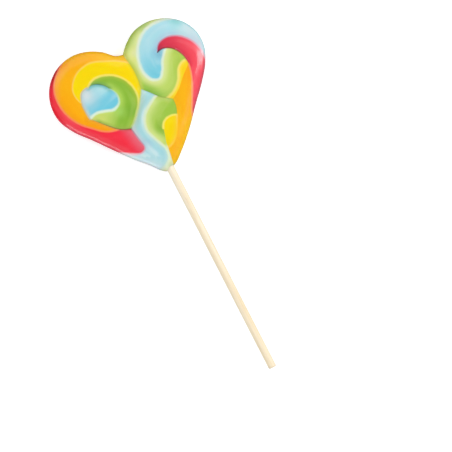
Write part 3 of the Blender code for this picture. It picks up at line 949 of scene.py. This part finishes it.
def stick_ring(shape, station, waves):
    """A ring of points round the stick at a place along it."""
    depth = min(station, STICK_LENGTH - station)
    left = max(0, 1 - depth / STICK_END_ROUNDING)
    inset = STICK_END_ROUNDING * (1 - math.sqrt(max(0, 1 - left**2)))
    y = STICK_IN_SUGAR - station - TIP_TO_ORIGIN
    ring = []
    for side in range(STICK_SIDES):
        turn = math.tau * side / STICK_SIDES
        radius = stick_radius(turn, station, waves) - inset
        x, z = radius * math.cos(turn), RIM_HEIGHT + radius * math.sin(turn)
        ring.append(shape.verts.new((x * MM, y * MM, z * MM)))
    return ring


def join_rings(shape, rings):
    """Faces between each ring of points and the next."""
    for ring, following in zip(rings[:-1], rings[1:]):
        for i in range(len(ring)):
            j = (i + 1) % len(ring)
            shape.faces.new((ring[i], ring[j], following[j], following[i]))


def close_end(shape, ring):
    """A flat end inside a ring of points: smaller rings, and a point in the middle."""
    middle = sum((corner.co for corner in ring), Vector()) / len(ring)
    rings = [ring]
    for share in STICK_END_RINGS:
        rings.append([shape.verts.new(middle.lerp(corner.co, share)) for corner in ring])
    join_rings(shape, rings)
    centre = shape.verts.new(middle)
    last = rings[-1]
    for i in range(len(last)):
        shape.faces.new((last[i], last[(i + 1) % len(last)], centre))


def make_stick():
    """The wooden stick, a dowel with rounded ends, lying along the heart's axis."""
    waves = stick_waves()
    shape = bmesh.new()
    rings = [stick_ring(shape, station, waves) for station in stick_stations()]
    join_rings(shape, rings)
    close_end(shape, rings[0])
    close_end(shape, rings[-1])
    bmesh.ops.recalc_face_normals(shape, faces=shape.faces)
    mesh = bpy.data.meshes.new("stick_looks")
    shape.to_mesh(mesh)
    shape.free()
    mesh.shade_smooth()
    mesh.set_sharp_from_angle(angle=math.radians(STICK_SHARP_ANGLE))
    mesh.materials.append(wood_material())
    made = bpy.data.objects.new("stick_looks", mesh)
    bpy.context.scene.collection.objects.link(made)
    return made


class Graph:
    """A material's node tree, with short calls for the nodes used here."""

    def __init__(self, name):
        self.material = bpy.data.materials.new(name)
        self.material.use_nodes = True
        self.tree = self.material.node_tree
        self.shader = self.tree.nodes["Principled BSDF"]

    def feed(self, socket, value):
        """Links a socket, or sets its value."""
        if isinstance(value, bpy.types.NodeSocket):
            self.tree.links.new(value, socket)
        else:
            socket.default_value = value

    def shade(self, **inputs):
        """Feeds the shader's inputs, named with _ for a space."""
        for name, value in inputs.items():
            self.feed(self.shader.inputs[name.replace("_", " ")], value)

    def node(self, kind, settings=None, **inputs):
        """A new node with its settings and its named inputs."""
        made = self.tree.nodes.new(kind)
        for key, value in (settings or {}).items():
            setattr(made, key, value)
        for name, value in inputs.items():
            self.feed(made.inputs[name], value)
        return made

    def spot(self):
        """The place on the object, in metres."""
        return self.node("ShaderNodeTexCoord").outputs["Object"]

    def attribute(self, name, output="Fac"):
        """A mesh attribute's output."""
        return self.node("ShaderNodeAttribute", {"attribute_name": name}).outputs[output]

    def math(self, operation, *numbers):
        """A sum, product or other simple step on numbers."""
        made = self.node("ShaderNodeMath", {"operation": operation})
        for socket, number in zip(made.inputs, numbers):
            self.feed(socket, number)
        return made.outputs[0]

    def remap(self, value, low, high, to_low, to_high):
        """A number moved smoothly from one range to another, and held at its ends."""
        made = self.node("ShaderNodeMapRange", {"interpolation_type": "SMOOTHSTEP"}, Value=value)
        for key, number in zip(("From Min", "From Max", "To Min", "To Max"), (low, high, to_low, to_high)):
            self.feed(made.inputs[key], number)
        return made.outputs[0]

    def mix(self, share, first, second, blend="MIX"):
        """Two colours mixed by a share."""
        made = self.node("ShaderNodeMix", {"data_type": "RGBA", "blend_type": blend})
        factor, colours = made.inputs[0], made.inputs[6:8]
        for socket, value in zip((factor, *colours), (share, first, second)):
            self.feed(socket, value)
        return made.outputs[2]

    def noise(self, vector, scale, detail, roughness=0.5):
        """Smooth noise from 0 to 1."""
        inputs = {"Vector": vector, "Scale": scale, "Detail": detail, "Roughness": roughness}
        return self.node("ShaderNodeTexNoise", **inputs).outputs["Fac"]

    def stretched(self, vector, scales):
        """Coordinates scaled along each axis."""
        return self.node("ShaderNodeMapping", Vector=vector, Scale=scales).outputs[0]

    def bump(self, height, distance, normal=None):
        """A surface normal that rises and falls with a height, by a distance in millimetres."""
        made = self.node("ShaderNodeBump", Height=height, Distance=distance * MM)
        if normal:
            self.feed(made.inputs["Normal"], normal)
        return made.outputs[0]


def sugar_colour(graph, streak):
    """Each stripe's colour with its streaks, the soft pale lines between stripes, and painted crease shade.
    """
    tone = graph.node("ShaderNodeAttribute", {"attribute_name": "tone"})
    strength = tone.outputs["Alpha"]
    paler = graph.math("MULTIPLY", graph.remap(streak, *PALE_STREAKS), strength)
    colour = graph.mix(paler, tone.outputs["Color"], graph.attribute("streak_tint", "Color"))
    deeper = graph.math("MULTIPLY", graph.remap(streak, *DEEP_STREAKS), strength)
    colour = graph.mix(deeper, colour, colour, "MULTIPLY")

    rough = graph.noise(graph.spot(), *LINE_NOISE)
    ragged = graph.math("MULTIPLY_ADD", rough, LINE_RAGGED, -LINE_RAGGED / 2)
    gap = graph.math("ADD", graph.attribute("line_gap"), ragged)
    line = graph.remap(gap, *LINE_FADE, LINE_STRENGTH, 0.0)
    colour = graph.mix(line, colour, graph.attribute("line_tint", "Color"))

    # Painted crease shade, as strong as the shade attribute
    dark = graph.mix(1.0, colour, CREASE_SHADE_TINT, "MULTIPLY")
    return graph.mix(graph.attribute("shade"), colour, dark)


def sugar_material():
    """Glossy, slightly clear boiled sugar with soft ripples."""
    graph = Graph("sugar")
    spot = graph.spot()
    flow = graph.attribute("flow", "Vector")
    streak = graph.noise(graph.stretched(flow, STREAK_SCALE), *STREAK_NOISE)
    grain = graph.noise(spot, *GRAIN_NOISE)
    ripple = graph.bump(graph.noise(spot, *RIPPLE_NOISE), RIPPLE_HEIGHT)
    drawn = graph.bump(streak, STREAK_HEIGHT, ripple)
    graph.shade(
        Base_Color=sugar_colour(graph, streak),
        Roughness=graph.remap(grain, *NOISE_RANGE, *SUGAR_ROUGHNESS),
        Specular_IOR_Level=SUGAR_GLOSS,
        Subsurface_Weight=SUGAR_DEPTH_SHARE,
        Subsurface_Scale=SUGAR_DEPTH * MM,
        Subsurface_Radius=SUGAR_DEPTH_COLOUR,
        Normal=graph.bump(grain, GRAIN_HEIGHT, drawn),
    )
    return graph.material


def wood_material():
    """Pale unvarnished birch with fine grain along the stick."""
    graph = Graph("birch")
    spot = graph.spot()
    grain = graph.noise(graph.stretched(spot, WOOD_GRAIN), *WOOD_GRAIN_NOISE)
    pores = graph.noise(graph.stretched(spot, WOOD_PORES), *WOOD_SOFT_NOISE)
    patches = graph.noise(graph.stretched(spot, WOOD_PATCHES), *WOOD_SOFT_NOISE)
    fine = graph.remap(grain, *WOOD_GRAIN_TURNS)
    broad = graph.remap(patches, *WOOD_PATCH_TURNS)
    colour = graph.mix(graph.math("ADD", fine, broad), (*linear(WOOD_PALE), 1), (*linear(WOOD_DEEP), 1))
    colour = graph.mix(graph.remap(pores, *WOOD_PORE_TURNS), colour, WOOD_PORE_TINT, "MULTIPLY")
    graph.shade(
        Base_Color=colour,
        Roughness=graph.remap(grain, *NOISE_RANGE, *WOOD_ROUGHNESS),
        Normal=graph.bump(grain, WOOD_GRAIN_HEIGHT, graph.bump(pores, WOOD_PORE_HEIGHT)),
    )
    return graph.material


def floor_material():
    """Plain white paper."""
    graph = Graph("white floor")
    fibres = graph.noise(graph.spot(), *FLOOR_NOISE)
    graph.shade(
        Base_Color=FLOOR_COLOUR,
        Roughness=graph.remap(fibres, *NOISE_RANGE, *FLOOR_ROUGHNESS),
        Specular_IOR_Level=FLOOR_GLOSS,
        Emission_Color=WHITE,
        Emission_Strength=FLOOR_GLOW,
    )
    return graph.material


def make_floor():
    """A wide flat floor that the lollipop's back lies on."""
    mesh = bpy.data.meshes.new("floor")
    half = FLOOR_SIZE / 2
    corners = [(-half, -half, 0), (half, -half, 0), (half, half, 0), (-half, half, 0)]
    mesh.from_pydata(corners, [], [(0, 1, 2, 3)])
    mesh.materials.append(floor_material())
    made = bpy.data.objects.new("floor", mesh)
    made.location.z = FLOOR_HEIGHT
    made.visible_glossy = False
    made.visible_diffuse = False
    bpy.context.scene.collection.objects.link(made)


def make_light(name, azimuth, elevation, width, height, power):
    """A soft light on one side of the heart, turned to it."""
    light = bpy.data.lights.new(name, "AREA")
    light.shape = "RECTANGLE"
    light.size = width
    light.size_y = height
    light.energy = power
    made = bpy.data.objects.new(name, light)
    around, up = math.radians(azimuth), math.radians(elevation)
    out = Vector((math.cos(around) * math.cos(up), math.sin(around) * math.cos(up), math.sin(up)))
    made.location = out * LIGHT_DISTANCE
    made.rotation_euler = out.to_track_quat("Z", "Y").to_euler()
    bpy.context.scene.collection.objects.link(made)


def make_world():
    """An even white surround."""
    world = bpy.data.worlds.new("studio")
    bpy.context.scene.world = world
    world.use_nodes = True
    background = world.node_tree.nodes["Background"]
    background.inputs["Color"].default_value = WHITE
    background.inputs["Strength"].default_value = WORLD_LIGHT


def make_camera():
    """The camera straight over the lollipop, with a long lens."""
    camera = bpy.data.cameras.new("camera")
    camera.lens = LENS
    camera.sensor_width = SENSOR
    made = bpy.data.objects.new("camera", camera)
    height = VIEW_HEIGHT + VIEW_WIDTH * LENS / SENSOR
    made.location = (VIEW_CENTRE[0] * MM, (VIEW_CENTRE[1] - TIP_TO_ORIGIN) * MM, height * MM)
    made.rotation_euler = (0, 0, math.radians(-VIEW_TURN))
    bpy.context.scene.collection.objects.link(made)
    bpy.context.scene.camera = made


def main():
    """Builds the lollipop's looks, the floor, the lights and the camera."""
    candy = make_candy()
    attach(candy, "root")
    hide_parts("candy")
    stick = make_stick()
    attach(stick, "root")
    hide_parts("stick")
    make_floor()
    make_world()
    for name, values in LIGHTS.items():
        make_light(name, *values)
    make_camera()
    bpy.context.scene.view_settings.view_transform = "Standard"


main()
